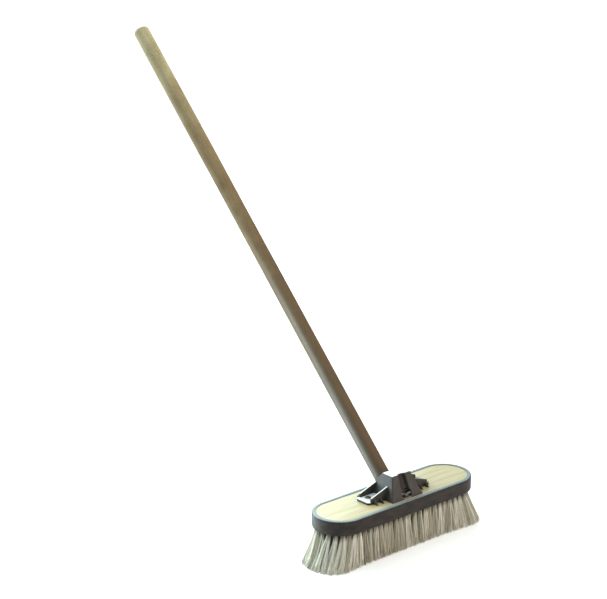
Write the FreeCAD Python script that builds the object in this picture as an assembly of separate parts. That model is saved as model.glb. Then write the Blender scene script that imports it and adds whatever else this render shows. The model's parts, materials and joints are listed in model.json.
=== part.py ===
import FreeCAD, Part
import math
import os
from FreeCAD import Vector

# A push broom: a wooden block with splayed tufts and a rubber bumper round its edge, a cast bracket on
# top of it, and a straight wooden handle that leans back at about 45 degrees out of the bracket's rear face.
# Millimetres. The origin is on the floor under the middle of the block. X runs along the block, the
# handle leans towards +Y, and +Z is up. The bristle tips stand on the plane Z = 0.

# ---- head ----
head_length = 400.0          # over the bumper
head_width = 112.0           # over the bumper
block_thickness = 28.0
bristle_length = 76.0        # from the block's underside to the floor, measured straight down
bumper_thickness = 8.0
bumper_lip = 1.0             # how far the bumper stands above the wood
bumper_skirt = 1.0           # how far it hangs below the wood
bumper_edge_round = 2.5
bumper_seam = 0.8            # gap between the strip's two ends, in the middle of the rear side
glue_gap = 0.1               # between the wood and the bumper

# ---- bumper nails, two at each end of the strip ----
nail_head_radius = 2.8
nail_crown_radius = 1.7
nail_head_height = 1.2
nail_shank_radius = 0.8
nail_length = 18.0
nail_from_seam = 9.0
nail_gap = 15.0              # between the two nails at one end of the strip
nail_clearance = 0.05

# ---- tufts ----
tuft_spacing = 13.4          # aimed at, along every row
row_inset = 15.0             # outer row to the head's outer face
row_count = 3                # closed rows, besides the straight one along the middle
tuft_hole_radius = 3.5
tuft_hole_depth = 12.0
tuft_fold_radius = 2.6       # at the fold, in the bottom of the hole
tuft_tip_radius = 6.2        # at the floor
side_splay = 7.0             # how far the outer row's tips stand outside their holes, along the sides
corner_splay = 9.0           # added to it towards the two ends
end_splay = 32.0             # how far the tips lean lengthwise at the two ends
splay_start = 0.5            # share of the half length where the last two begin
anchor_radius = 0.6
anchor_clearance = 0.3

# ---- handle: a round stick with a domed top ----
handle_diameter = 34.0
handle_length = 1165.0
handle_tilt = 45.5           # degrees above the floor
handle_axis_y = 8.0          # where the handle's axis passes through the top of the wood
seat_diameter = 33.0         # the turned-down lower end, which the bracket grips
seat_in_wood = 14.0          # how deep the seat's lowest edge stands in the wood
seat_clearance = 0.08        # radial
shoulder_gap = 3.0           # from the bracket's rear face to the shoulder where the full diameter starts
shoulder_ramp = 0.5
handle_chamfer = 1.5
handle_dome = 8.0            # height of the rounded top end

# ---- bracket: a hollow four-sided casting with a foot at each end ----
bracket_height = 47.0
base_half_length = 42.0
base_front_gap = 3.9         # from the wood's front edge to the casting
base_rear_gap = 7.9
top_half_length = 25.0
top_front = 22.5
top_rear = 6.0
bracket_wall = 4.0
bracket_round = 2.0
socket_wall = 3.5            # round the handle, inside the casting
channel_top = 8.5            # half width of the channel in the front face, at the top
channel_foot = 12.5          # and at the foot
channel_depth = 6.0
channel_draft = 3.5          # how much narrower the channel's floor is than its mouth, on each side
top_channel_depth = 1.2

foot_reach = 85.0            # from the middle of the block to the foot's outer edge
foot_half_width = 19.0
foot_thickness = 5.0
foot_corner = 4.0
gusset_thickness = 4.5
gusset_reach = 77.0
gusset_low = 12.5            # height at the outer end
gusset_high = 28.0           # height where it meets the casting's side
rib_thickness = 3.5
rib_places = (70.0, 54.0)    # from the middle of the block
rib_reach = 11.5             # outwards from the gusset's face
rib_height = 11.0
rib_toe = 2.0

# ---- foot screws ----
screw_place = 65.0           # from the middle of the block
screw_y = 4.0                # behind the foot's middle
screw_head_radius = 6.2
screw_head_height = 3.2
screw_shank_radius = 2.5
screw_in_wood = 14.0
screw_point = 4.0
screw_slot_width = 1.4
screw_slot_depth = 1.4
screw_clearance = 0.1

# ---- clamp stud, washer and wing nut, at the foot of the channel ----
stud_from_front = 8.0        # behind the casting's front edge
stud_radius = 3.0
stud_in_wood = 13.5
stud_above_nut = 1.0
stud_chamfer = 0.6
stud_hole_clearance = 0.3
lug_thickness = 2.5
washer_radius = 6.0
washer_thickness = 1.0
nut_travel = 2.0             # how far the nut may be run up the stud
running_clearance = 0.05
nut_foot_radius = 5.0
nut_crown_radius = 4.0
nut_height = 5.5
wing_reach = 12.0            # from the stud's axis
wing_thickness = 2.4
wing_rise = 7.5              # top of the wings above the nut's underside
pocket_clearance = 1.0       # round and over the wing nut's sweep
pocket_roof = 2.5            # height of the pocket's sloping roof
pocket_wall = 3.0

# ---- worked out from the sizes above ----
floor_to_wood = bristle_length + block_thickness        # height of the wood's top face
wood_length = head_length - 2 * (bumper_thickness + glue_gap)
wood_width = head_width - 2 * (bumper_thickness + glue_gap)
half_straight = (head_length - head_width) / 2          # half of the head's straight length
base_front = wood_width / 2 - base_front_gap
base_rear = wood_width / 2 - base_rear_gap
stud_y = stud_from_front - base_front
outer_row_radius = head_width / 2 - row_inset
row_gap = outer_row_radius / row_count
tilt = math.radians(handle_tilt)
handle_axis = Vector(0, math.cos(tilt), math.sin(tilt))
handle_foot = Vector(0, handle_axis_y, floor_to_wood)
handle_up = Vector(0, -math.sin(tilt), math.cos(tilt))  # square to the handle, on its upper side
handle_radius = handle_diameter / 2
seat_radius = seat_diameter / 2
bore_radius = seat_radius + seat_clearance
# The stick's lower end is cut square, so its lowest edge is below the end's centre.
handle_start = -(seat_in_wood - seat_radius * math.cos(tilt)) / math.sin(tilt)
rear_edge = Vector(0, base_rear, floor_to_wood)
rear_normal = Vector(0, bracket_height, base_rear - top_rear)
# The shoulder clears the bracket's slanted rear face on whichever side of the stick that face reaches further.
rear_reach = max((rear_edge - handle_foot + handle_up * side * handle_radius).dot(rear_normal)
                 for side in (-1, 1)) / handle_axis.dot(rear_normal)
shoulder = rear_reach + shoulder_gap
nut_low = floor_to_wood + lug_thickness + washer_thickness
pocket_radius = wing_reach + pocket_clearance
pocket_top = nut_low + nut_travel + wing_rise + pocket_clearance
far = 2 * head_length                                   # longer than anything that is cut


def prism(points, direction):
    """A straight prism from a list of corners."""
    face = Part.Face(Part.makePolygon(points + points[:1]))
    return face.extrude(direction)


def rod(radius, start, direction, length):
    return Part.makeCylinder(radius, length, start, direction)


def turned(outline):
    """A solid turned round Z from an outline of (start, middle or None, end) that leaves out the axis."""
    edges = []
    for start, middle, end in outline:
        if middle is None:
            edges.append(Part.LineSegment(start, end).toShape())
        else:
            edges.append(Part.Arc(start, middle, end).toShape())
    edges.append(Part.LineSegment(outline[-1][2], outline[0][0]).toShape())
    return Part.Face(Part.Wire(edges)).revolve(Vector(0, 0, 0), Vector(0, 0, 1), 360)


def stadium(length, width, low, high):
    """A prism with straight sides and half-round ends, from height low to height high."""
    r = width / 2
    a = length / 2 - r
    front_left, front_right = Vector(-a, -r, low), Vector(a, -r, low)
    rear_left, rear_right = Vector(-a, r, low), Vector(a, r, low)
    edges = [
        Part.LineSegment(front_left, front_right).toShape(),
        Part.Arc(front_right, Vector(a + r, 0, low), rear_right).toShape(),
        Part.LineSegment(rear_right, rear_left).toShape(),
        Part.Arc(rear_left, Vector(-a - r, 0, low), front_left).toShape(),
    ]
    return Part.Face(Part.Wire(edges)).extrude(Vector(0, 0, high - low))


# ---- tufts ----

def row_points(radius):
    """A row's tufts on the block's underside, as (x, y, outward x, outward y)."""
    if radius <= 0:
        half_count = max(1, round(half_straight / tuft_spacing))
        step = half_straight / half_count
        return [(i * step, 0.0, 0.0, 0.0) for i in range(-half_count, half_count + 1)]
    straight = 2 * half_straight
    cap = math.pi * radius
    half_round = straight + cap
    half_count = round(half_round / tuft_spacing)
    places = []
    for side in (1, -1):                        # the second half is the first one turned round
        for i in range(half_count):
            s = (i + 0.5) * half_round / half_count
            if s < straight / 2:
                x, y, nx, ny = s, -radius, 0.0, -1.0
            elif s < straight / 2 + cap:
                turn = (s - straight / 2) / radius - math.pi / 2
                nx, ny = math.cos(turn), math.sin(turn)
                x, y = half_straight + radius * nx, radius * ny
            else:
                x, y, nx, ny = half_straight - (s - straight / 2 - cap), radius, 0.0, 1.0
            places.append((side * x, side * y, side * nx, side * ny))
    return places


def tuft_lines(radius):
    """Each tuft's mouth on the block's underside, and its direction down to the floor."""
    share = radius / outer_row_radius
    reach = half_straight + outer_row_radius
    lines = []
    for x, y, nx, ny in row_points(radius):
        along = (abs(x) / reach - splay_start) / (1 - splay_start)
        along = min(1.0, max(0.0, along))
        towards_end = along * along * (3 - 2 * along)
        lean_x = math.copysign(end_splay * share * towards_end, x)
        lean_y = (side_splay + corner_splay * towards_end) * share * ny
        down = Vector(lean_x, lean_y, -bristle_length)
        lines.append((Vector(x, y, bristle_length), down.normalize()))
    return lines


def hole_bottom(mouth, down):
    return mouth - down * (tuft_hole_depth / -down.z)


def tuft_hole(mouth, down):
    return rod(tuft_hole_radius, hole_bottom(mouth, down), down, 2 * tuft_hole_depth / -down.z)


def tuft(mouth, down):
    """A cone from the fold over the anchor wire to the spread tips, cut off flat at the floor."""
    start = hole_bottom(mouth, down) + down * (2 * anchor_radius + anchor_clearance)
    to_floor = start.z / -down.z
    slope = (tuft_tip_radius - tuft_fold_radius) / to_floor
    over = tuft_tip_radius                      # past the floor, so that the cut takes the whole end
    cone = Part.makeCone(tuft_fold_radius, tuft_tip_radius + slope * over, to_floor + over, start, down)
    above_floor = Part.makeBox(far, far, floor_to_wood, Vector(-far / 2, -far / 2, 0))
    return cone.common(above_floor).Solids[0]


def anchor_wire(mouth, down):
    """The piece of wire that a tuft is folded over, lying across the bottom of its hole."""
    centre = hole_bottom(mouth, down) + down * (anchor_radius + anchor_clearance / 2)
    across = down.cross(Vector(0, 1, 0)).normalize()
    half = tuft_hole_radius - anchor_clearance
    return rod(anchor_radius, centre - across * half, across, 2 * half)


# ---- handle ----

def handle_bore():
    """The straight hole that the handle stands in, open along the handle's own line."""
    return rod(bore_radius, handle_foot + handle_axis * handle_start, handle_axis, handle_length)


def handle():
    r, top, dome, cut = handle_radius, handle_length, handle_dome, handle_chamfer
    crown = r - dome                            # flat middle of the rounded end
    step = shoulder - handle_start
    lean = math.sqrt(0.5)
    outline = [
        (Vector(0, 0, 0), None, Vector(seat_radius - cut, 0, 0)),
        (Vector(seat_radius - cut, 0, 0), None, Vector(seat_radius, 0, cut)),
        (Vector(seat_radius, 0, cut), None, Vector(seat_radius, 0, step)),
        (Vector(seat_radius, 0, step), None, Vector(r, 0, step + shoulder_ramp)),
        (Vector(r, 0, step + shoulder_ramp), None, Vector(r, 0, top - dome)),
        (Vector(r, 0, top - dome), Vector(crown + dome * lean, 0, top - dome + dome * lean),
         Vector(crown, 0, top)),
        (Vector(crown, 0, top), None, Vector(0, 0, top)),
    ]
    stick = turned(outline)
    stick.rotate(Vector(0, 0, 0), Vector(1, 0, 0), handle_tilt - 90)
    stick.translate(handle_foot + handle_axis * handle_start)
    return stick


# ---- head ----

def bumper():
    low = bristle_length - bumper_skirt
    high = floor_to_wood + bumper_lip
    outside = stadium(head_length, head_width, low, high)
    rims = [edge for face in outside.Faces if abs(face.normalAt(0, 0).z) > 0.9 for edge in face.Edges]
    outside = outside.makeFillet(bumper_edge_round, rims)
    inner_length, inner_width = wood_length + 2 * glue_gap, wood_width + 2 * glue_gap
    strip = outside.cut(stadium(inner_length, inner_width, low - 1, high + 1))
    seam = Part.makeBox(bumper_seam, head_width, far, Vector(-bumper_seam / 2, 0, 0))
    return strip.cut([seam] + nail_solids(nail_clearance))


def nail_places():
    over_tufts = bristle_length + tuft_hole_depth
    height = (over_tufts + floor_to_wood) / 2
    return [(side * (nail_from_seam + i * nail_gap), height) for side in (-1, 1) for i in range(2)]


def nail_solids(clearance=0.0):
    """The bumper's nails, driven forwards from its rear face; a clearance makes them the holes."""
    nails = []
    for x, z in nail_places():
        inner = Vector(x, head_width / 2 - nail_length, z)
        shank = rod(nail_shank_radius + clearance, inner, Vector(0, 1, 0), nail_length)
        if clearance:
            nails.append(shank)
            continue
        head_start = Vector(x, head_width / 2, z)
        head = Part.makeCone(
            nail_head_radius, nail_crown_radius, nail_head_height, head_start, Vector(0, 1, 0))
        nails.append(shank.fuse(head).removeSplitter())
    return nails


def block(lines):
    wood = stadium(wood_length, wood_width, bristle_length, floor_to_wood)
    holes = [tuft_hole(mouth, down) for mouth, down in lines]
    holes += nail_solids(nail_clearance)
    holes.append(handle_bore())
    for side in (-1, 1):
        foot = Vector(side * screw_place, screw_y, floor_to_wood - screw_in_wood - screw_clearance)
        holes.append(rod(screw_shank_radius + screw_clearance, foot, Vector(0, 0, 1), far))
    foot = Vector(0, stud_y, floor_to_wood - stud_in_wood)
    holes.append(rod(stud_radius + running_clearance, foot, Vector(0, 0, 1), far))
    return wood.cut(holes)


# ---- bracket ----

def tapered_box(half_low, front_low, rear_low, half_high, front_high, rear_high, height):
    """A four-sided body that narrows upwards, standing on the wood."""
    low, high = floor_to_wood, floor_to_wood + height
    base = [Vector(-half_low, -front_low, low), Vector(half_low, -front_low, low),
            Vector(half_low, rear_low, low), Vector(-half_low, rear_low, low)]
    top = [Vector(-half_high, -front_high, high), Vector(half_high, -front_high, high),
           Vector(half_high, rear_high, high), Vector(-half_high, rear_high, high)]
    return Part.makeLoft([Part.makePolygon(ring + ring[:1]) for ring in (base, top)], True, True)


def channel_outline(half_width, face_y, z):
    """The channel's cross-section at one height: wide in front of the face, narrow at its floor."""
    ahead = channel_depth                       # reaches this far in front of the face
    spread = channel_draft * ahead / channel_depth
    corners = [
        Vector(-half_width - spread, face_y - ahead, z), Vector(half_width + spread, face_y - ahead, z),
        Vector(half_width - channel_draft, face_y + channel_depth, z),
        Vector(channel_draft - half_width, face_y + channel_depth, z)]
    return Part.makePolygon(corners + corners[:1])


def channel():
    """The channel down the middle of the front face, and its shallow end across the top."""
    slope = (base_front - top_front) / bracket_height
    narrowing = (channel_foot - channel_top) / bracket_height
    rings = []
    for height in (lug_thickness, bracket_height + 1):
        half_width = channel_foot - narrowing * height
        rings.append(channel_outline(half_width, slope * height - base_front, floor_to_wood + height))
    over_top = Part.makeBox(
        2 * channel_top, far, far,
        Vector(-channel_top, -far / 2, floor_to_wood + bracket_height - top_channel_depth))
    return [Part.makeLoft(rings, True, True), over_top]


def casting_body():
    """The hollow middle of the bracket, with the socket for the handle inside it."""
    outside = tapered_box(
        base_half_length, base_front, base_rear, top_half_length, top_front, top_rear, bracket_height)
    sharp = [edge for edge in outside.Edges if edge.BoundBox.ZMax > floor_to_wood + 1]
    outside = outside.makeFillet(bracket_round, sharp)
    w = bracket_wall
    front = w + channel_depth
    hollow = tapered_box(
        base_half_length - w, base_front - front, base_rear - w,
        top_half_length - w, top_front - front, top_rear - w, bracket_height - w)
    socket = rod(bore_radius + socket_wall, handle_foot - handle_axis * far / 2, handle_axis, far)
    stud_foot = Vector(0, stud_y, floor_to_wood)
    pocket_shell = rod(pocket_radius + pocket_wall, stud_foot, Vector(0, 0, 1), far)
    body = outside.cut(hollow.cut([socket, pocket_shell]))
    pocket_foot = Vector(0, stud_y, floor_to_wood + lug_thickness)
    straight = pocket_top - pocket_foot.z
    pocket = rod(pocket_radius, pocket_foot, Vector(0, 0, 1), straight)
    roof = Part.makeCone(
        pocket_radius, channel_top, pocket_roof, Vector(0, stud_y, pocket_top), Vector(0, 0, 1))
    stud_hole = rod(stud_radius + stud_hole_clearance, stud_foot - Vector(0, 0, 1), Vector(0, 0, 1), far)
    return body.cut(channel() + [pocket, roof, stud_hole, handle_bore()])


def casting_foot():
    """The right foot: a plate with its corners cut off, two gussets and their ribs."""
    z = floor_to_wood
    start = base_half_length - bracket_wall / 2
    plate = prism(
        [Vector(start, -foot_half_width, z), Vector(foot_reach - foot_corner, -foot_half_width, z),
         Vector(foot_reach, foot_corner - foot_half_width, z), Vector(foot_reach, foot_half_width - foot_corner, z),
         Vector(foot_reach - foot_corner, foot_half_width, z), Vector(start, foot_half_width, z)],
        Vector(0, 0, foot_thickness))
    lean = (base_half_length - top_half_length) / bracket_height
    inside = bracket_wall / 2
    pieces = [plate]
    for side in (-1, 1):
        face_y = side * foot_half_width
        gusset = prism(
            [Vector(start, face_y, z), Vector(gusset_reach, face_y, z), Vector(gusset_reach, face_y, z + gusset_low),
             Vector(base_half_length - lean * gusset_high - inside, face_y, z + gusset_high)],
            Vector(0, -side * gusset_thickness, 0))
        pieces.append(gusset)
        for place in rib_places:
            x = place - rib_thickness / 2
            inner = face_y - side * gusset_thickness / 2
            pieces.append(prism(
                [Vector(x, inner, z), Vector(x, face_y + side * rib_reach, z),
                 Vector(x, face_y + side * rib_reach, z + rib_toe), Vector(x, face_y, z + rib_height),
                 Vector(x, inner, z + rib_height)],
                Vector(rib_thickness, 0, 0)))
    foot = pieces[0].multiFuse(pieces[1:])
    hole_start = Vector(screw_place, screw_y, z - 1)
    return foot.cut(rod(screw_shank_radius + screw_clearance, hole_start, Vector(0, 0, 1), far))


def bracket():
    right = casting_foot()
    left = right.mirror(Vector(0, 0, 0), Vector(1, 0, 0))
    return casting_body().multiFuse([right, left]).removeSplitter()


# ---- fasteners ----

def foot_screws():
    """Round-headed slotted wood screws, one through each foot."""
    z = floor_to_wood + foot_thickness
    r, h = screw_head_radius, screw_head_height
    point_low = floor_to_wood - screw_in_wood
    ball = (r * r + h * h) / (2 * h)            # radius of the head's dome
    half_angle = math.asin(r / ball) / 2
    shoulder = Vector(ball * math.sin(half_angle), 0, z + h - ball + ball * math.cos(half_angle))
    outline = [
        (Vector(0, 0, point_low), None, Vector(screw_shank_radius, 0, point_low + screw_point)),
        (Vector(screw_shank_radius, 0, point_low + screw_point), None, Vector(screw_shank_radius, 0, z)),
        (Vector(screw_shank_radius, 0, z), None, Vector(r, 0, z)),
        (Vector(r, 0, z), shoulder, Vector(0, 0, z + h)),
    ]
    screw = turned(outline)
    slot_corner = Vector(-far / 2, -screw_slot_width / 2, z + h - screw_slot_depth)
    screw = screw.cut(Part.makeBox(far, screw_slot_width, far, slot_corner))
    screws = []
    for side in (-1, 1):
        one = screw.copy()
        one.rotate(Vector(0, 0, 0), Vector(0, 0, 1), 20 + 35 * side)
        one.translate(Vector(side * screw_place, screw_y, 0))
        screws.append(one)
    return screws


def clamp_stud():
    low = floor_to_wood - stud_in_wood
    high = nut_low + nut_height + stud_above_nut
    r, c = stud_radius, stud_chamfer
    outline = [
        (Vector(0, 0, low), None, Vector(r - c, 0, low)),
        (Vector(r - c, 0, low), None, Vector(r, 0, low + c)),
        (Vector(r, 0, low + c), None, Vector(r, 0, high - c)),
        (Vector(r, 0, high - c), None, Vector(r - c, 0, high)),
        (Vector(r - c, 0, high), None, Vector(0, 0, high)),
    ]
    stud = turned(outline)
    stud.translate(Vector(0, stud_y, 0))
    return stud


def clamp_washer():
    start = Vector(0, stud_y, floor_to_wood + lug_thickness)
    disc = rod(washer_radius, start, Vector(0, 0, 1), washer_thickness)
    return disc.cut(rod(stud_radius + running_clearance, start, Vector(0, 0, 1), washer_thickness))


def wing_nut():
    """A tapered hub with two upswept wings, bored for the stud."""
    hub = Part.makeCone(nut_foot_radius, nut_crown_radius, nut_height)
    y = wing_thickness / 2
    inner = nut_crown_radius - 1.0              # the wings are rooted this deep in the hub
    tip_round = wing_rise * 0.25
    root_low, tip_low = Vector(inner, -y, 1.0), Vector(wing_reach, -y, wing_rise - 2 * tip_round)
    tip_high, root_high = Vector(wing_reach - tip_round, -y, wing_rise), Vector(inner, -y, nut_height - 0.4)
    bend = Vector(wing_reach - tip_round * 0.25, -y, wing_rise - tip_round * 0.6)
    edges = [
        Part.LineSegment(root_low, tip_low).toShape(),
        Part.Arc(tip_low, bend, tip_high).toShape(),
        Part.LineSegment(tip_high, root_high).toShape(),
        Part.LineSegment(root_high, root_low).toShape(),
    ]
    wing = Part.Face(Part.Wire(edges)).extrude(Vector(0, wing_thickness, 0))
    other = wing.mirror(Vector(0, 0, 0), Vector(1, 0, 0))
    nut = hub.multiFuse([wing, other]).removeSplitter()
    nut = nut.cut(rod(stud_radius + running_clearance, Vector(0, 0, -1), Vector(0, 0, 1), nut_height + 2))
    nut.rotate(Vector(0, 0, 0), Vector(0, 0, 1), -12)
    nut.translate(Vector(0, stud_y, nut_low))
    return nut


# ---- write the pieces ----

def write(name, solids):
    shape = Part.makeCompound(solids) if isinstance(solids, list) else solids
    wrong = [s for s in shape.Solids if not s.isValid() or s.Volume <= 0]
    if wrong or not shape.Solids:
        raise ValueError(f"{name}: {len(wrong)} wrong solids of {len(shape.Solids)}")
    shape.exportStep(f"parts/{name}.step")
    box = shape.BoundBox
    print(f"{name:16s} {len(shape.Solids):4d} solids  x {box.XMin:7.1f} {box.XMax:7.1f}"
          f"  y {box.YMin:7.1f} {box.YMax:7.1f}  z {box.ZMin:7.1f} {box.ZMax:7.1f}")


os.makedirs("parts", exist_ok=True)
row_lines = [tuft_lines(outer_row_radius - i * row_gap) for i in range(row_count)] + [tuft_lines(0.0)]
row_names = ["outer", "second", "third", "centre"]
for row_name, row in zip(row_names, row_lines):
    write(f"tufts_{row_name}", [tuft(mouth, down) for mouth, down in row])
    write(f"anchors_{row_name}", [anchor_wire(mouth, down) for mouth, down in row])
write("block", block([line for row in row_lines for line in row]))
write("bumper", bumper())
write("bumper_nails", nail_solids())
write("bracket", bracket())
write("foot_screws", foot_screws())
write("clamp_stud", clamp_stud())
write("clamp_washer", clamp_washer())
write("wing_nut", wing_nut())
write("handle", handle())
grip_low = handle_foot + handle_axis * (shoulder + shoulder_ramp)
grip_high = handle_foot + handle_axis * (handle_start + handle_length - handle_dome)
print("plain handle, from its shoulder to its dome:", (grip_high - grip_low).Length, (grip_low + grip_high) / 2)
print("handle axis:", handle_axis, " wing nut's underside:", nut_low)
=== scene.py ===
import bmesh
import bpy
import json
import math
import random
from mathutils import Matrix, Vector


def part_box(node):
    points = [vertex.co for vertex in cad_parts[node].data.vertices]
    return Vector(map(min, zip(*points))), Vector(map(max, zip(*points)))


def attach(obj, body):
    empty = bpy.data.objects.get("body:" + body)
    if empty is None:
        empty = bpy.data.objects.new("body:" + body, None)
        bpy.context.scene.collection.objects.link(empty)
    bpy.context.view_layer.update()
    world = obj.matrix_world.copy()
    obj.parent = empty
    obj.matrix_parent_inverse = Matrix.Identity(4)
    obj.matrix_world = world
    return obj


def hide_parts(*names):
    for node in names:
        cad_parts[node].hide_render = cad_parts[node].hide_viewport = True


# A push broom: pale wooden block, rubber bumper, splayed fibre tufts, cast bracket and a long wooden handle.

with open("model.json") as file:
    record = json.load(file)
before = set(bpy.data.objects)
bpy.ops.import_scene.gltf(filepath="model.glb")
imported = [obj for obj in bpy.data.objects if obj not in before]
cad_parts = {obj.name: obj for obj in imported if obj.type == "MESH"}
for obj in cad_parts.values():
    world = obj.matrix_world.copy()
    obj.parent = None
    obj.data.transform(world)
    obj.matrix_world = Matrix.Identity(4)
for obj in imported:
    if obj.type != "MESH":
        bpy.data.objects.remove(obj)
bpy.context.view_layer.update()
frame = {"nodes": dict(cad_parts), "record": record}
mm = 0.001
nodes = frame["nodes"]
random.seed(11)


def say(words):
    print("broom:", words)


# small helpers

def linear(hexColour):
    # sRGB hex to the linear colour that the shaders use
    parts = [int(hexColour[i:i + 2], 16) / 255 for i in (1, 3, 5)]
    return tuple(c / 12.92 if c <= 0.04045 else ((c + 0.055) / 1.055) ** 2.4 for c in parts) + (1.0,)


def newMaterial(name):
    material = bpy.data.materials.new(name)
    material.use_nodes = True
    tree = material.node_tree
    tree.nodes.clear()
    output = tree.nodes.new("ShaderNodeOutputMaterial")
    shader = tree.nodes.new("ShaderNodeBsdfPrincipled")
    tree.links.new(shader.outputs["BSDF"], output.inputs["Surface"])
    return material, tree, shader


def addNode(tree, kind, settings=None, values=None, links=None):
    # one node, its settings, its plain input values and what is plugged into it
    node = tree.nodes.new(kind)
    for key, value in (settings or {}).items():
        setattr(node, key, value)
    for key, value in (values or {}).items():
        node.inputs[key].default_value = value
    for key, socket in (links or {}).items():
        tree.links.new(socket, node.inputs[key])
    return node


def setRamp(ramp, stops):
    # stops are (place, hex colour)
    band = ramp.color_ramp
    while len(band.elements) > 1:
        band.elements.remove(band.elements[-1])
    band.elements[0].position, band.elements[0].color = stops[0][0], linear(stops[0][1])
    for place, colour in stops[1:]:
        band.elements.new(place).color = linear(colour)


def greyRamp(ramp, low, high, lowValue=0.0, highValue=1.0):
    band = ramp.color_ramp
    band.elements[0].position, band.elements[0].color = low, (lowValue,) * 3 + (1,)
    band.elements[1].position, band.elements[1].color = high, (highValue,) * 3 + (1,)


def finishWith(obj, material):
    # gives every slot of an object the one finish
    if not obj.material_slots:
        obj.data.materials.append(material)
    for place in obj.material_slots:
        place.material = material


def deselectAll():
    if bpy.context.object and bpy.context.object.mode != "OBJECT":
        bpy.ops.object.mode_set(mode="OBJECT")
    bpy.ops.object.select_all(action="DESELECT")


def pick(obj):
    deselectAll()
    obj.select_set(True)
    bpy.context.view_layer.objects.active = obj


# the camera

cameraPlace = {"azimuth": -43.66, "elevation": 23.33, "distance": 3.980, "lens": 116.5, "sensor": 36,
               "farthest": 200}
cameraAim = {"besideBlock": -0.033, "behindBlock": 0.238, "aboveFloor": 0.4606}


def makeCamera():
    low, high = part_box("block")
    middle = Vector(((low[0] + high[0]) / 2, (low[1] + high[1]) / 2, high[2]))
    turn, rise = math.radians(cameraPlace["azimuth"]), math.radians(cameraPlace["elevation"])
    back = Vector((math.sin(turn) * math.cos(rise), -math.cos(turn) * math.cos(rise), math.sin(rise)))
    aim = Vector((cameraAim["besideBlock"], cameraAim["behindBlock"], cameraAim["aboveFloor"]))
    data = bpy.data.cameras.new("camera")
    data.lens, data.sensor_width = cameraPlace["lens"], cameraPlace["sensor"]
    camera = bpy.data.objects.new("camera", data)
    bpy.context.collection.objects.link(camera)
    camera.location = middle + back * cameraPlace["distance"]
    camera.rotation_euler = (aim - camera.location).to_track_quat("-Z", "Y").to_euler()
    data.clip_end = cameraPlace["farthest"]
    bpy.context.scene.camera = camera


makeCamera()
say("camera placed")

# a pattern that several finishes share

waveBand = 0.314                 # a wave texture's bands are this far apart at a scale of 1


def upFacing(tree, low, high, noiseSize, uneven):
    # 1 where a surface faces the sky, 0 where it stands upright, with a ragged border
    shape = addNode(tree, "ShaderNodeNewGeometry")
    parts = addNode(tree, "ShaderNodeSeparateXYZ", links={"Vector": shape.outputs["Normal"]})
    place = addNode(tree, "ShaderNodeTexCoord")
    cloud = addNode(tree, "ShaderNodeTexNoise", values={"Scale": 1 / noiseSize, "Detail": 4.0},
                    links={"Vector": place.outputs["Object"]})
    lift = addNode(tree, "ShaderNodeMath", {"operation": "MULTIPLY_ADD"}, {1: uneven, 2: -uneven / 2},
                   {0: cloud.outputs["Fac"]})
    total = addNode(tree, "ShaderNodeMath", {"operation": "ADD"},
                    links={0: parts.outputs["Z"], 1: lift.outputs["Value"]})
    return addNode(tree, "ShaderNodeMapRange", {"interpolation_type": "SMOOTHSTEP"},
                   {"From Min": low, "From Max": high}, {"Value": total.outputs["Value"]}).outputs["Result"]


# wood: the block and the handle

woodIor = 1.5
blockWood = {
    "pale": "#c9bf99", "warm": "#b3a474", "line": "#9a8a5a",
    "streakWidth": 7 * mm, "streakStretch": 0.06,     # a stretch below 1 draws the pattern out along the grain
    "ringWidth": 11 * mm, "ringDepth": 0.15,
    "poreWidth": 1.1 * mm, "poreStretch": 0.04, "poreDepth": 0.35, "poreRelief": 0.15 * mm,
    "roughness": 0.45,
}
handleWood = {
    "top": "#c2b98e", "upper": "#94805a", "middle": "#6a5436", "low": "#5b4529", "soil": "#3d2d1a",
    "streakWidth": 2.2 * mm, "streakStretch": 0.03, "streakRelief": 0.3 * mm,
    "speckWidth": 1.6 * mm, "speckStretch": 0.3, "speckDepth": 0.4,
    "blotchWidth": 41.667 * mm, "blotchShift": 0.3,   # blotches move the tone up or down the stick
    "paintedShade": "#2e2417", "paintedShadeDepth": 0.7,            # painted shade on one side of the stick, low down
    "paintedShadeStart": -3 * mm, "paintedShadeEnd": -15 * mm,      # across the stick, from its middle
    "roughness": 0.55,
}


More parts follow.
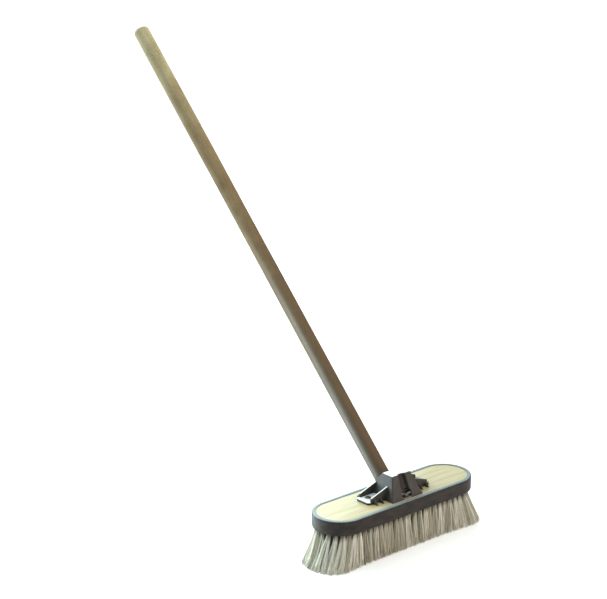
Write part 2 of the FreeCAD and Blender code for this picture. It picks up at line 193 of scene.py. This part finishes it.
def blockWoodMaterial():
    # Beech plank, planed and clear lacquered: pale streaks along the block, faint ring lines, a satin shine
    material, tree, shader = newMaterial("lacqueredBeechBlock")
    place = addNode(tree, "ShaderNodeTexCoord")
    stretched = addNode(tree, "ShaderNodeMapping", values={"Scale": (blockWood["streakStretch"], 1.0, 1.0)},
                        links={"Vector": place.outputs["Object"]})
    streaks = addNode(tree, "ShaderNodeTexNoise",
                      values={"Scale": 1 / blockWood["streakWidth"], "Detail": 3.0, "Roughness": 0.55},
                      links={"Vector": stretched.outputs["Vector"]})
    tone = addNode(tree, "ShaderNodeValToRGB", links={"Fac": streaks.outputs["Fac"]})
    setRamp(tone, [(0.32, blockWood["pale"]), (0.7, blockWood["warm"])])
    rings = addNode(tree, "ShaderNodeTexWave", {"bands_direction": "Y", "wave_profile": "SAW"},
                    {"Scale": waveBand / blockWood["ringWidth"], "Distortion": 4.0, "Detail": 2.0,
                     "Detail Scale": 0.5},
                    {"Vector": stretched.outputs["Vector"]})
    ringMask = addNode(tree, "ShaderNodeValToRGB", links={"Fac": rings.outputs["Fac"]})
    greyRamp(ringMask, 0.7, 1.0, 0.0, blockWood["ringDepth"])
    ringed = addNode(tree, "ShaderNodeMixRGB", values={"Color2": linear(blockWood["line"])},
                     links={"Fac": ringMask.outputs["Color"], "Color1": tone.outputs["Color"]})
    fibres = addNode(tree, "ShaderNodeMapping", values={"Scale": (blockWood["poreStretch"], 1.0, 1.0)},
                     links={"Vector": place.outputs["Object"]})
    pores = addNode(tree, "ShaderNodeTexNoise", values={"Scale": 1 / blockWood["poreWidth"], "Detail": 2.0},
                    links={"Vector": fibres.outputs["Vector"]})
    poreMask = addNode(tree, "ShaderNodeValToRGB", links={"Fac": pores.outputs["Fac"]})
    greyRamp(poreMask, 0.55, 0.8, 0.0, blockWood["poreDepth"])
    wood = addNode(tree, "ShaderNodeMixRGB", values={"Color2": linear(blockWood["line"])},
                   links={"Fac": poreMask.outputs["Color"], "Color1": ringed.outputs["Color"]})
    relief = addNode(tree, "ShaderNodeBump", values={"Strength": 0.2, "Distance": blockWood["poreRelief"]},
                     links={"Height": pores.outputs["Fac"]})
    tree.links.new(wood.outputs["Color"], shader.inputs["Base Color"])
    tree.links.new(relief.outputs["Normal"], shader.inputs["Normal"])
    shader.inputs["Roughness"].default_value = blockWood["roughness"]
    shader.inputs["IOR"].default_value = woodIor
    return material


def handleWoodMaterial():
    # Pine stick, turned and sanded: grain runs its length, paler towards the top, darker lower down, with
    # painted shade down one side lower on the stick
    material, tree, shader = newMaterial("sandedPineHandle")
    low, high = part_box("handle")
    place = addNode(tree, "ShaderNodeTexCoord")
    grip = next(m for m in frame["record"]["mounts"] if m["name"] == "handle_grip")
    lean = math.atan2(grip["axis"][1], grip["axis"][2])
    upStick = addNode(tree, "ShaderNodeMapping", {"vector_type": "POINT"},
                      {"Rotation": (lean, 0, 0)}, {"Vector": place.outputs["Object"]})   # Z runs up the stick
    stretched = addNode(tree, "ShaderNodeMapping", values={"Scale": (1.0, 1.0, handleWood["streakStretch"])},
                        links={"Vector": upStick.outputs["Vector"]})
    streaks = addNode(tree, "ShaderNodeTexNoise",
                      values={"Scale": 1 / handleWood["streakWidth"], "Detail": 4.0},
                      links={"Vector": stretched.outputs["Vector"]})
    specks = addNode(tree, "ShaderNodeMapping", values={"Scale": (1.0, 1.0, handleWood["speckStretch"])},
                     links={"Vector": upStick.outputs["Vector"]})
    speckNoise = addNode(tree, "ShaderNodeTexNoise",
                         values={"Scale": 1 / handleWood["speckWidth"], "Detail": 3.0},
                         links={"Vector": specks.outputs["Vector"]})
    blotches = addNode(tree, "ShaderNodeTexNoise",
                       values={"Scale": 1 / handleWood["blotchWidth"], "Detail": 4.0},
                       links={"Vector": place.outputs["Object"]})
    height = addNode(tree, "ShaderNodeSeparateXYZ", links={"Vector": place.outputs["Object"]})
    share = addNode(tree, "ShaderNodeMapRange", values={"From Min": low[2], "From Max": high[2]},
                    links={"Value": height.outputs["Z"]})
    uneven = addNode(tree, "ShaderNodeMath", {"operation": "MULTIPLY_ADD"},
                     {1: handleWood["blotchShift"], 2: -handleWood["blotchShift"] / 2},
                     {0: blotches.outputs["Fac"]})
    mixedShare = addNode(tree, "ShaderNodeMath", {"operation": "ADD"},
                         links={0: share.outputs["Result"], 1: uneven.outputs["Value"]})
    tone = addNode(tree, "ShaderNodeValToRGB", links={"Fac": mixedShare.outputs["Value"]})
    setRamp(tone, [(0.0, handleWood["low"]), (0.45, handleWood["middle"]), (0.75, handleWood["upper"]),
                   (1.0, handleWood["top"])])
    streakTone = addNode(tree, "ShaderNodeValToRGB", links={"Fac": streaks.outputs["Fac"]})
    greyRamp(streakTone, 0.3, 0.7, 0.8, 1.1)
    grained = addNode(tree, "ShaderNodeMixRGB", {"blend_type": "MULTIPLY"}, {"Fac": 0.8},
                      {"Color1": tone.outputs["Color"], "Color2": streakTone.outputs["Color"]})
    soilMask = addNode(tree, "ShaderNodeValToRGB", links={"Fac": speckNoise.outputs["Fac"]})
    greyRamp(soilMask, 0.5, 0.72, 0.0, handleWood["speckDepth"])
    wood = addNode(tree, "ShaderNodeMixRGB", values={"Color2": linear(handleWood["soil"])},
                   links={"Fac": soilMask.outputs["Color"], "Color1": grained.outputs["Color"]})
    # painted shade: one side of the stick is darkened, lower down
    across = addNode(tree, "ShaderNodeSeparateXYZ", links={"Vector": upStick.outputs["Vector"]})
    oneSide = addNode(tree, "ShaderNodeMapRange", {"interpolation_type": "SMOOTHSTEP"},
                      {"From Min": handleWood["paintedShadeStart"], "From Max": handleWood["paintedShadeEnd"]},
                      {"Value": across.outputs["X"]})
    lowDown = addNode(tree, "ShaderNodeMapRange",
                      values={"From Min": 0.7, "From Max": 0.2, "To Max": handleWood["paintedShadeDepth"]},
                      links={"Value": mixedShare.outputs["Value"]})
    paintedShadeMask = addNode(tree, "ShaderNodeMath", {"operation": "MULTIPLY"},
                        links={0: oneSide.outputs["Result"], 1: lowDown.outputs["Result"]})
    shadedWood = addNode(tree, "ShaderNodeMixRGB", values={"Color2": linear(handleWood["paintedShade"])},
                      links={"Fac": paintedShadeMask.outputs["Value"], "Color1": wood.outputs["Color"]})
    relief = addNode(tree, "ShaderNodeBump", values={"Strength": 0.35, "Distance": handleWood["streakRelief"]},
                     links={"Height": streaks.outputs["Fac"]})
    tree.links.new(shadedWood.outputs["Color"], shader.inputs["Base Color"])
    tree.links.new(relief.outputs["Normal"], shader.inputs["Normal"])
    shader.inputs["Roughness"].default_value = handleWood["roughness"]
    shader.inputs["IOR"].default_value = woodIor
    return material


finishWith(nodes["block"], blockWoodMaterial())
finishWith(nodes["handle"], handleWoodMaterial())
say("wood finished")

# the rubber bumper

bumperLook = {
    "rubber": "#1c1714", "worn": "#3b3029", "scuffWidth": 11 * mm, "scuffStretch": 0.35,
    # the rim colour is dust together with a painted blue-grey sheen
    "dustAndSheen": "#8d999b", "rimGrain": 1.6 * mm, "rimUneven": 0.9,
    "rimStart": 0.45, "rimFull": 1.1,               # how far a face must lean to the sky to gather dust and the painted sheen
    "skinWidth": 1.1 * mm, "skinRelief": 0.25 * mm,
    "roughness": 0.5, "specular": 0.22,
}


def rubberMaterial():
    # Extruded rubber strip: brown-black, satin, scuffed in patches, with pale dust and a painted blue-grey
    # sheen on its upper rim
    material, tree, shader = newMaterial("extrudedRubber")
    place = addNode(tree, "ShaderNodeTexCoord")
    scuffs = addNode(tree, "ShaderNodeMapping",
                     values={"Scale": (bumperLook["scuffStretch"], bumperLook["scuffStretch"], 1.0)},
                     links={"Vector": place.outputs["Object"]})
    cloud = addNode(tree, "ShaderNodeTexNoise",
                    values={"Scale": 1 / bumperLook["scuffWidth"], "Detail": 5.0, "Roughness": 0.62},
                    links={"Vector": scuffs.outputs["Vector"]})
    mask = addNode(tree, "ShaderNodeValToRGB", links={"Fac": cloud.outputs["Fac"]})
    greyRamp(mask, 0.42, 0.72, 0.0, 0.9)
    tone = addNode(tree, "ShaderNodeMixRGB",
                   values={"Color1": linear(bumperLook["rubber"]), "Color2": linear(bumperLook["worn"])},
                   links={"Fac": mask.outputs["Color"]})
    # the upper rim's pale blue-grey is partly dust and partly a painted sheen
    dustAndSheenMask = upFacing(tree, bumperLook["rimStart"], bumperLook["rimFull"], bumperLook["rimGrain"],
                        bumperLook["rimUneven"])
    dustedAndSheened = addNode(tree, "ShaderNodeMixRGB", values={"Color2": linear(bumperLook["dustAndSheen"])},
                     links={"Fac": dustAndSheenMask, "Color1": tone.outputs["Color"]})
    speck = addNode(tree, "ShaderNodeTexNoise", values={"Scale": 1 / bumperLook["skinWidth"], "Detail": 3.0},
                    links={"Vector": place.outputs["Object"]})
    relief = addNode(tree, "ShaderNodeBump", values={"Strength": 0.35, "Distance": bumperLook["skinRelief"]},
                     links={"Height": speck.outputs["Fac"]})
    shine = addNode(tree, "ShaderNodeMapRange",
                    values={"To Min": bumperLook["roughness"] - 0.1, "To Max": bumperLook["roughness"] + 0.15},
                    links={"Value": cloud.outputs["Fac"]})
    tree.links.new(dustedAndSheened.outputs["Color"], shader.inputs["Base Color"])
    tree.links.new(shine.outputs["Result"], shader.inputs["Roughness"])
    tree.links.new(relief.outputs["Normal"], shader.inputs["Normal"])
    shader.inputs["Specular IOR Level"].default_value = bumperLook["specular"]
    return material


finishWith(nodes["bumper"], rubberMaterial())
say("bumper finished")

# the casting and the fasteners

castLook = {
    "paint": "#3f3c39", "patch": 14 * mm, "patchLow": 0.55, "patchHigh": 1.45,
    "grit": 1.2 * mm, "gritRelief": 0.3 * mm,
    "rubbed": "#8f8f8a", "rubbedDepth": 0.7,
    # painted shade runs down the front channel, with painted light in the nut's pocket
    "paintedChannelShade": "#191614", "channelShadeDepth": 0.85, "channelHalf": 13 * mm, "channelEdge": 6 * mm,
    "pocket": "#857a70", "aboveNut": 4 * mm, "pocketFade": 3 * mm,
    "paintedHighlight": "#e6eceb", "highlightStart": 0.75, "highlightFull": 0.92, "highlightGrain": 3 * mm, "highlightUneven": 0.1,
    "highlightAboveBlock": 4 * mm,                         # the painted highlight starts this far above the block, so the pocket's own floor stays dark
    "rightShadeStart": 24 * mm, "rightShadeEnd": 40 * mm, "rightHighlightShare": 0.25,   # painted shade: the right foot gets only this share of the painted highlight
    "roughness": 0.5, "specular": 0.18,
}
castSkins = {                    # how far a mould rounds each casting's edges
    "bracket": {"body": "head", "slot": "cast_metal", "voxel": 0.8 * mm, "passes": 11, "keep": 0.45},
    "wing_nut": {"body": "wing_nut", "slot": "zinc_steel", "voxel": 0.25 * mm, "passes": 5, "keep": 0.4},
}
mergeWithin = 0.01 * mm


def castSkin(node):
    # a merged copy of the casting with its edges and inner corners rounded, as sand leaves them
    look = castSkins[node]
    piece = bpy.data.objects.new(node + "_cast", nodes[node].data.copy())
    bpy.context.collection.objects.link(piece)
    pick(piece)
    bpy.ops.object.mode_set(mode="EDIT")
    bpy.ops.mesh.select_all(action="SELECT")
    bpy.ops.mesh.remove_doubles(threshold=mergeWithin)
    bpy.ops.object.mode_set(mode="OBJECT")
    skin = piece.modifiers.new("skin", "REMESH")
    skin.mode, skin.voxel_size = "VOXEL", look["voxel"]
    bpy.ops.object.modifier_apply(modifier="skin")
    soften = piece.modifiers.new("soften", "SMOOTH")
    soften.factor, soften.iterations = 0.5, look["passes"]
    bpy.ops.object.modifier_apply(modifier="soften")
    thin = piece.modifiers.new("thin", "DECIMATE")
    thin.ratio = look["keep"]
    bpy.ops.object.modifier_apply(modifier="thin")
    bpy.ops.object.shade_smooth()
    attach(piece, look["body"])
    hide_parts(node)
    say(f"{piece.name}: {len(piece.data.polygons)} faces")
    return piece


def castMetalMaterial():
    # Sand-cast iron under thin dark paint: pebbly skin, rubbed edges, a near-white painted highlight on what
    # faces up, painted shade in the front channel, painted light in the nut's pocket
    material, tree, shader = newMaterial("paintedCastIron")
    place = addNode(tree, "ShaderNodeTexCoord")
    pebbles = addNode(tree, "ShaderNodeTexNoise", values={"Scale": 1 / castLook["grit"], "Detail": 3.0},
                      links={"Vector": place.outputs["Object"]})
    patches = addNode(tree, "ShaderNodeTexNoise", values={"Scale": 1 / castLook["patch"], "Detail": 4.0},
                      links={"Vector": place.outputs["Object"]})
    shape = addNode(tree, "ShaderNodeNewGeometry")
    edges = addNode(tree, "ShaderNodeValToRGB", links={"Fac": shape.outputs["Pointiness"]})
    greyRamp(edges, 0.53, 0.62, 0.0, castLook["rubbedDepth"])
    patchTone = addNode(tree, "ShaderNodeMapRange",
                        values={"To Min": castLook["patchLow"], "To Max": castLook["patchHigh"]},
                        links={"Value": patches.outputs["Fac"]})
    paint = addNode(tree, "ShaderNodeMixRGB", {"blend_type": "MULTIPLY"},
                    {"Fac": 1.0, "Color1": linear(castLook["paint"])}, {"Color2": patchTone.outputs["Result"]})
    tone = addNode(tree, "ShaderNodeMixRGB", values={"Color2": linear(castLook["rubbed"])},
                   links={"Fac": edges.outputs["Color"], "Color1": paint.outputs["Color"]})
    spot = addNode(tree, "ShaderNodeSeparateXYZ", links={"Vector": place.outputs["Object"]})
    beside = addNode(tree, "ShaderNodeMath", {"operation": "ABSOLUTE"}, links={0: spot.outputs["X"]})
    # painted shade: the front channel is darkened towards its middle
    inChannel = addNode(tree, "ShaderNodeMapRange", {"interpolation_type": "SMOOTHSTEP"},
                        {"From Min": castLook["channelHalf"],
                         "From Max": castLook["channelHalf"] - castLook["channelEdge"],
                         "To Max": castLook["channelShadeDepth"]}, {"Value": beside.outputs["Value"]})
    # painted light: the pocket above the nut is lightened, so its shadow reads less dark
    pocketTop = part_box("wing_nut")[1][2] + castLook["aboveNut"]
    inPocket = addNode(tree, "ShaderNodeMapRange",
                       values={"From Min": pocketTop, "From Max": pocketTop - castLook["pocketFade"]},
                       links={"Value": spot.outputs["Z"]})
    paintedChannelShade = addNode(tree, "ShaderNodeMixRGB",
                   values={"Color1": linear(castLook["paintedChannelShade"]), "Color2": linear(castLook["pocket"])},
                   links={"Fac": inPocket.outputs["Result"]})
    channelShaded = addNode(tree, "ShaderNodeMixRGB",
                     links={"Fac": inChannel.outputs["Result"], "Color1": tone.outputs["Color"],
                            "Color2": paintedChannelShade.outputs["Color"]})
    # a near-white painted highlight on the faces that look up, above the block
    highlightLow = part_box("block")[1][2] + castLook["highlightAboveBlock"]
    raised = addNode(tree, "ShaderNodeMapRange",
                     values={"From Min": highlightLow - mm / 2, "From Max": highlightLow + mm / 2},
                     links={"Value": spot.outputs["Z"]})
    # painted shade on the right foot: the painted highlight falls off towards it
    worn = addNode(tree, "ShaderNodeMapRange", {"interpolation_type": "SMOOTHSTEP"},
                   {"From Min": castLook["rightShadeStart"], "From Max": castLook["rightShadeEnd"],
                    "To Min": 1.0, "To Max": castLook["rightHighlightShare"]}, {"Value": spot.outputs["X"]})
    highlightShare = addNode(tree, "ShaderNodeMath", {"operation": "MULTIPLY"},
                        links={0: raised.outputs["Result"], 1: worn.outputs["Result"]})
    skyward = upFacing(tree, castLook["highlightStart"], castLook["highlightFull"], castLook["highlightGrain"],
                       castLook["highlightUneven"])
    faceUp = addNode(tree, "ShaderNodeMath", {"operation": "MULTIPLY"},
                     links={0: skyward, 1: highlightShare.outputs["Value"]})
    highlighted = addNode(tree, "ShaderNodeMixRGB", values={"Color2": linear(castLook["paintedHighlight"])},
                     links={"Fac": faceUp.outputs["Value"], "Color1": channelShaded.outputs["Color"]})
    relief = addNode(tree, "ShaderNodeBump", values={"Strength": 0.4, "Distance": castLook["gritRelief"]},
                     links={"Height": pebbles.outputs["Fac"]})
    tree.links.new(highlighted.outputs["Color"], shader.inputs["Base Color"])
    tree.links.new(relief.outputs["Normal"], shader.inputs["Normal"])
    shader.inputs["Roughness"].default_value = castLook["roughness"]
    shader.inputs["Specular IOR Level"].default_value = castLook["specular"]
    return material


steelLooks = {                   # bright and dull are the two tones of a clouded skin
    "zincPlatedSteel": {"bright": "#a9adaa", "dull": "#7d817f", "roughness": 0.38, "metallic": 1.0},
    "bronzedSteel": {"bright": "#7d6252", "dull": "#4e3d33", "roughness": 0.4, "metallic": 1.0},
    "tarnishedCastSteel": {"bright": "#6a6058", "dull": "#3c342e", "roughness": 0.4, "metallic": 0.6,
                           "top": "#eef2f1"},
}
steelSkin = {"cloud": 2.5 * mm, "relief": 0.1 * mm, "topStart": 0.3, "topFull": 0.8, "topGrain": 1 * mm,
             "topUneven": 0.3}


def steelMaterial(name):
    # Steel with a thin plated or tarnished skin: slightly clouded, and where a look gives a top tone, a
    # near-white painted highlight on what faces up
    look = steelLooks[name]
    material, tree, shader = newMaterial(name)
    place = addNode(tree, "ShaderNodeTexCoord")
    cloud = addNode(tree, "ShaderNodeTexNoise", values={"Scale": 1 / steelSkin["cloud"], "Detail": 4.0},
                    links={"Vector": place.outputs["Object"]})
    tone = addNode(tree, "ShaderNodeMixRGB",
                   values={"Color1": linear(look["dull"]), "Color2": linear(look["bright"])},
                   links={"Fac": cloud.outputs["Fac"]})
    # a near-white painted highlight on what faces up, where a look gives a top tone
    if "top" in look:
        rubbed = upFacing(tree, steelSkin["topStart"], steelSkin["topFull"], steelSkin["topGrain"],
                          steelSkin["topUneven"])
        tone = addNode(tree, "ShaderNodeMixRGB", values={"Color2": linear(look["top"])},
                       links={"Fac": rubbed, "Color1": tone.outputs["Color"]})
    relief = addNode(tree, "ShaderNodeBump", values={"Strength": 0.2, "Distance": steelSkin["relief"]},
                     links={"Height": cloud.outputs["Fac"]})
    tree.links.new(tone.outputs["Color"], shader.inputs["Base Color"])
    tree.links.new(relief.outputs["Normal"], shader.inputs["Normal"])
    shader.inputs["Roughness"].default_value = look["roughness"]
    shader.inputs["Metallic"].default_value = look["metallic"]
    return material


zincPlate = steelMaterial("zincPlatedSteel")
bronzedSteel = steelMaterial("bronzedSteel")
finishWith(castSkin("bracket"), castMetalMaterial())
finishWith(castSkin("wing_nut"), steelMaterial("tarnishedCastSteel"))
for name in ("clamp_washer", "clamp_stud", "foot_screws"):
    finishWith(nodes[name], bronzedSteel)
for name in ("bumper_nails", "anchors_outer", "anchors_second", "anchors_third", "anchors_centre"):
    finishWith(nodes[name], zincPlate)
say("metal finished")

# the bristles

bristleLook = {
    "thickness": 0.9 * mm,       # at the root, and drawn a little coarse
    "tipThickness": 0.55 * mm,
    "sides": 3,
    "steps": 4,
    "rootSpread": 2.7 * mm,      # radius of the bunch in its hole
    "tipSpread": 6.5 * mm,       # radius of the bunch at the floor, across its row
    "tipMeet": 1.0,              # radius along its row, as a share of the gap to the next bunch
    "opening": 1.05,             # above 1 the bunch stays narrow near the block and opens late
    "locks": 6,                  # bristles lean together in a few locks in each tuft
    "lockPull": 0.4,
    "bend": 1.5 * mm,            # how far a whole tuft wanders sideways
    "bow": 0.8 * mm,             # and one bristle on its own
    "rootDepth": 3.0 * mm,       # how far the drawn length starts inside the hole
    "tipUneven": 0.6 * mm,
    "lockReach": (0.35, 0.85),   # where the locks' middles lie, from the bunch's middle to its rim
    "splayPower": 1.3,           # above 1 a tuft leaves the block steeply and then swings out
    "splayShare": 0.6,
}
rowBristles = {                  # the depth is the share of the length browned from the block down: dirt on the outer row, and painted shade deep into the inner rows
    "tufts_outer": {"count": 120, "soilAndShadeDepth": 0.12},
    "tufts_second": {"count": 80, "soilAndShadeDepth": 0.8},
    "tufts_third": {"count": 60, "soilAndShadeDepth": 0.7},
    "tufts_centre": {"count": 60, "soilAndShadeDepth": 0.7},
}


def tuftAxes(node):
    # each tuft's middle at the block's underside and at the floor, read from its solid
    mesh = bmesh.new()
    mesh.from_mesh(nodes[node].data)
    bmesh.ops.remove_doubles(mesh, verts=mesh.verts, dist=mergeWithin)
    seen, axes = set(), []
    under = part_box("block")[0][2]
    nearFloor = 0.1 * mm
    for start in mesh.verts:
        if start in seen:
            continue
        island, todo = [], [start]
        seen.add(start)
        while todo:
            vert = todo.pop()
            island.append(vert.co.copy())
            for edge in vert.link_edges:
                other = edge.other_vert(vert)
                if other not in seen:
                    seen.add(other)
                    todo.append(other)
        floorEnd = [p for p in island if p.z < nearFloor]
        foldEnd = [p for p in island if p.z >= nearFloor]
        tip, fold = boxMiddle(floorEnd), boxMiddle(foldEnd)
        share = (fold.z - under) / (fold.z - tip.z)
        axes.append((fold.lerp(tip, share), tip))
    mesh.free()
    axes.sort(key=lambda a: (round(a[0].x, 5), round(a[0].y, 5)))
    return axes


def boxMiddle(points):
    low = Vector([min(p[i] for p in points) for i in range(3)])
    high = Vector([max(p[i] for p in points) for i in range(3)])
    return (low + high) / 2


def makeBristle():
    # one bristle, a thin three-sided rod that hangs down from the origin and narrows to its tip
    deselectAll()
    look = bristleLook
    bpy.ops.mesh.primitive_circle_add(vertices=look["sides"], radius=1.0, fill_type="NGON", location=(0, 0, 0))
    rod = bpy.context.object
    bpy.ops.object.mode_set(mode="EDIT")
    bpy.ops.mesh.select_all(action="SELECT")
    narrow = (look["tipThickness"] / look["thickness"]) ** (1 / look["steps"])
    for _ in range(look["steps"]):
        bpy.ops.mesh.extrude_region_move(TRANSFORM_OT_translate={"value": (0, 0, -1 / look["steps"])})
        bpy.ops.transform.resize(value=(narrow, narrow, 1))
    bpy.ops.mesh.select_all(action="SELECT")
    bpy.ops.mesh.normals_make_consistent(inside=False)
    bpy.ops.object.mode_set(mode="OBJECT")
    shape = [v.co.copy() for v in rod.data.vertices]
    faces = [tuple(p.vertices) for p in rod.data.polygons]
    bpy.data.objects.remove(rod)
    return shape, faces


def around(radius, turn):
    return Vector((radius * math.cos(turn), radius * math.sin(turn), 0))


def growRow(node, row, shape, faces):
    # all the bristles of one row of tufts, as one mesh
    look = bristleLook
    verts, polys = [], []
    traits = {"strandTone": [], "lockTone": [], "soil": []}
    axes = tuftAxes(node)
    for mouth, tip in axes:
        outward = Vector((tip.x - mouth.x, tip.y - mouth.y, 0))
        nextTip, lastTip = sorted((other[1] for other in axes), key=lambda o: (o - tip).length)[1:3]
        along = (nextTip - lastTip).normalized()
        stretch = max(0.0, look["tipMeet"] * (nextTip - lastTip).length / 2 / look["tipSpread"] - 1)
        start = mouth + (mouth - tip).normalized() * look["rootDepth"]
        sway = around(random.gauss(0, look["bend"]), random.uniform(0, math.pi))
        swirl = around(random.gauss(0, look["bend"] / 2), random.uniform(0, math.pi))
        locks = []
        for c in range(look["locks"]):
            turn = 2 * math.pi * (c + random.uniform(-0.3, 0.3)) / look["locks"]
            reach = look["tipSpread"] * random.uniform(*look["lockReach"])
            locks.append((around(reach, turn), random.random()))
        for b in range(row["count"]):
            away, turn = math.sqrt(random.random()), random.uniform(0, 2 * math.pi)
            root, end = around(look["rootSpread"] * away, turn), around(look["tipSpread"] * away, turn)
            lock, lockTone = min(locks, key=lambda l: (l[0] - end).length)
            end = end.lerp(lock, look["lockPull"] * random.uniform(0.5, 1.0))
            end += along * end.dot(along) * stretch
            bow = around(random.gauss(0, look["bow"]), random.uniform(0, math.pi))
            short = look["tipUneven"] * random.random() ** 2
            tone = random.random()
            turned = Matrix.Rotation(random.uniform(0, 2 * math.pi), 3, "Z") * (look["thickness"] / 2)
            base = len(verts)
            for point in shape:
                t = -point.z
                middle = start.lerp(tip, t)
                middle += outward * (t ** look["splayPower"] - t) * look["splayShare"]
                middle += root.lerp(end, t ** look["opening"])
                middle += (sway + bow) * math.sin(math.pi * t) + swirl * math.sin(2 * math.pi * t)
                side = turned @ Vector((point.x, point.y, 0))
                verts.append((middle.x + side.x, middle.y + side.y, start.z + (short - start.z) * t))
                traits["strandTone"].append(tone)
                traits["lockTone"].append(lockTone)
                # the soil share browns the root end: dirt, and painted shade deep into the inner rows
                traits["soil"].append(max(0.0, 1 - t / row["soilAndShadeDepth"]))
            polys.extend(tuple(base + i for i in face) for face in faces)
    mesh = bpy.data.meshes.new(node + "_bristles")
    mesh.from_pydata(verts, [], polys)
    for label, values in traits.items():
        mesh.attributes.new(label, "FLOAT", "POINT").data.foreach_set("value", values)
    grown = bpy.data.objects.new(node + "_bristles", mesh)
    bpy.context.collection.objects.link(grown)
    pick(grown)
    bpy.ops.object.shade_smooth()
    return grown


# the root brown is dirt near the block and painted shade between the inner tufts
fibreLook = {"dark": "#857b66", "middle": "#cac3ad", "light": "#f6f4e9", "root": "#33281d", "lockShare": 0.45,
             "roughness": 0.5, "ior": 1.5}


def fibreMaterial():
    # Split plant fibre: cream strands, each of its own tone, browned where they leave the block: dirt on the
    # outer row, painted shade deeper on the inner rows
    material, tree, shader = newMaterial("plantFibreBristle")
    strand = addNode(tree, "ShaderNodeAttribute", {"attribute_name": "strandTone"})
    lock = addNode(tree, "ShaderNodeAttribute", {"attribute_name": "lockTone"})
    soil = addNode(tree, "ShaderNodeAttribute", {"attribute_name": "soil"})
    both = addNode(tree, "ShaderNodeMixRGB", values={"Fac": fibreLook["lockShare"]},
                   links={"Color1": strand.outputs["Fac"], "Color2": lock.outputs["Fac"]})
    tone = addNode(tree, "ShaderNodeValToRGB", links={"Fac": both.outputs["Color"]})
    setRamp(tone, [(0.1, fibreLook["dark"]), (0.45, fibreLook["middle"]), (0.85, fibreLook["light"])])
    colour = addNode(tree, "ShaderNodeMixRGB", values={"Color2": linear(fibreLook["root"])},
                     links={"Fac": soil.outputs["Fac"], "Color1": tone.outputs["Color"]})
    tree.links.new(colour.outputs["Color"], shader.inputs["Base Color"])
    shader.inputs["Roughness"].default_value = fibreLook["roughness"]
    shader.inputs["IOR"].default_value = fibreLook["ior"]
    return material


def makeBristles():
    shape, faces = makeBristle()
    fibre = fibreMaterial()
    for node, row in rowBristles.items():
        grown = growRow(node, row, shape, faces)
        finishWith(grown, fibre)
        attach(grown, "head")
        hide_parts(node)
        say(f"{grown.name}: {len(grown.data.polygons)} faces")


makeBristles()

# the table and the light

studio = {"floor": "#eef0ef", "floorSize": 150, "floorRoughness": 0.9, "floorGlow": 0.45,
          "world": "#d6ecf2", "worldStrength": 0.3, "sunAway": 5.0}
lamps = {                        # "from" is where the light comes from, seen from the block
    "backSun": {"kind": "SUN", "from": (-0.22, 0.92, 0.30), "spread": 14, "power": 1.8, "colour": "#eef6ff"},
    "topSun": {"kind": "SUN", "from": (-0.20, 0.10, 0.90), "spread": 40, "power": 1.1, "colour": "#f2fbff"},
    "frontSun": {"kind": "SUN", "from": (0.50, -0.78, 0.36), "spread": 45, "power": 2.0, "colour": "#ffe8d2"},
    "backPanel": {"kind": "AREA", "from": (0.40, 0.80, 0.47), "away": 3.0, "size": 1.5, "power": 62.0,
                  "colour": "#e8fbff"},
    "leftPanel": {"kind": "AREA", "from": (-0.68, 0.62, 0.42), "away": 0.66, "size": 0.35, "power": 4.2,
                  "colour": "#e4fbff"},
    "lowPanel": {"kind": "AREA", "from": (-0.72, 0.69, -0.02), "away": 0.46, "size": 0.12, "power": 1.6,
                 "colour": "#e4fbff"},
}


def makeFloor():
    # a pale table with a little light of its own, so that shadows on it stay soft
    deselectAll()
    bpy.ops.mesh.primitive_plane_add(size=studio["floorSize"], location=(0, 0, 0))
    floor = bpy.context.object
    floor.name = "floor"
    material, tree, shader = newMaterial("paleFloor")
    shader.inputs["Base Color"].default_value = linear(studio["floor"])
    shader.inputs["Roughness"].default_value = studio["floorRoughness"]
    shader.inputs["Emission Color"].default_value = linear(studio["floor"])
    shader.inputs["Emission Strength"].default_value = studio["floorGlow"]
    floor.data.materials.append(material)


def makeLamps():
    low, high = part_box("block")
    middle = Vector(((low[0] + high[0]) / 2, (low[1] + high[1]) / 2, high[2]))
    for name, lamp in lamps.items():
        data = bpy.data.lights.new(name, lamp["kind"])
        data.energy = lamp["power"]
        data.color = linear(lamp["colour"])[:3]
        toLamp = Vector(lamp["from"]).normalized()
        if lamp["kind"] == "SUN":
            data.angle = math.radians(lamp["spread"])
        else:
            data.size = lamp["size"]
        obj = bpy.data.objects.new(name, data)
        bpy.context.collection.objects.link(obj)
        obj.location = middle + toLamp * lamp.get("away", studio["sunAway"])
        obj.rotation_euler = toLamp.to_track_quat("Z", "Y").to_euler()
        obj.visible_camera = False
    world = bpy.data.worlds.new("studio")
    world.use_nodes = True
    background = world.node_tree.nodes["Background"]
    background.inputs["Color"].default_value = linear(studio["world"])
    background.inputs["Strength"].default_value = studio["worldStrength"]
    bpy.context.scene.world = world
    bpy.context.scene.view_settings.view_transform = "Standard"


makeFloor()
makeLamps()
say("floor and light made")
